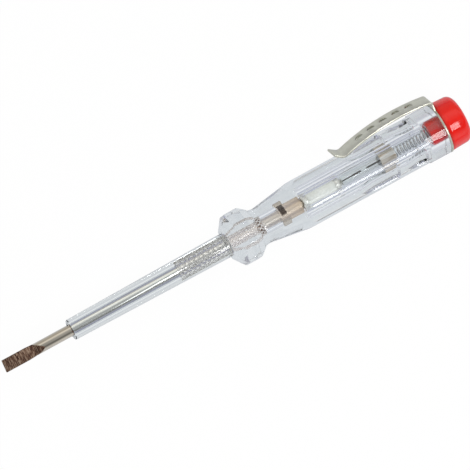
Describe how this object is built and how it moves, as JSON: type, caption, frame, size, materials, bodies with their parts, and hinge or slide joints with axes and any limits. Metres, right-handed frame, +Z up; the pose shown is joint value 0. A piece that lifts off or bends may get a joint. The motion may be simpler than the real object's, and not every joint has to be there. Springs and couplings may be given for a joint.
{
  "type": "voltage tester screwdriver",
  "caption": "Small flat-blade screwdriver with a clear handle that holds a neon voltage tester, a swivelling pocket clip and a red push-in end cap with a touch contact.",
  "frame": {"origin": "middle of the blade's end edge, on the tool's axis", "axes": "+X along the tool's axis from the blade's tip to the red cap, +Z up with the tool lying on the lower flat of its octagonal collar"},
  "size_m": [0.14, 0.0173, 0.0147],
  "materials": {
    "blade_steel": "nickel-plated steel rod, ground across at the tip",
    "clear_sleeve": "clear flexible plastic tube, faintly green-grey",
    "clear_handle": "clear moulded plastic, faintly blue",
    "resistor_ceramic": "lacquered ceramic rod",
    "tinned_metal": "tinned metal and solder",
    "lamp_glass": "clear glass tube",
    "electrode_metal": "dark oxidised electrode wire",
    "ferrule_metal": "plated drawn metal",
    "spring_steel": "plated spring wire",
    "clip_steel": "satin nickel-plated spring steel",
    "red_plastic": "glossy red moulded plastic",
    "contact_metal": "plated rivet"
  },
  "bodies": {
    "handle": {"blade": "blade_steel", "insulating_sleeve": "clear_sleeve", "handle": "clear_handle", "resistor_rod": "resistor_ceramic", "resistor_ferrule_front": "tinned_metal", "resistor_ferrule_rear": "tinned_metal", "lamp_front_contact": "tinned_metal", "lamp_glass": "lamp_glass", "lamp_electrode_front": "electrode_metal", "lamp_electrode_rear": "electrode_metal", "lamp_ferrule": "ferrule_metal", "lamp_solder_pip": "tinned_metal", "contact_spring": "spring_steel"},
    "clip_ring": {"clip_ring": "clip_steel"},
    "clip_arm": {"clip_arm": "clip_steel"},
    "end_cap": {"end_cap": "red_plastic", "touch_contact": "contact_metal"}
  },
  "joints": [
    {"name": "clip_swivel", "type": "hinge", "parent": "handle", "child": "clip_ring", "pos_m": [0.1334, 0, 0], "axis": [1, 0, 0], "continuous": true},
    {"name": "clip_flex", "type": "hinge", "parent": "clip_ring", "child": "clip_arm", "pos_m": [0.13365, 0.0072, 0.00433], "axis": [0, 0.515, -0.8572], "range_deg": [0, 6], "stiffness_Nm_per_rad": 0.5, "springref_deg": -1.15},
    {"name": "cap_pull", "type": "slide", "parent": "handle", "child": "end_cap", "axis": [1, 0, 0], "range_m": [0, 0.03]}
  ]
}
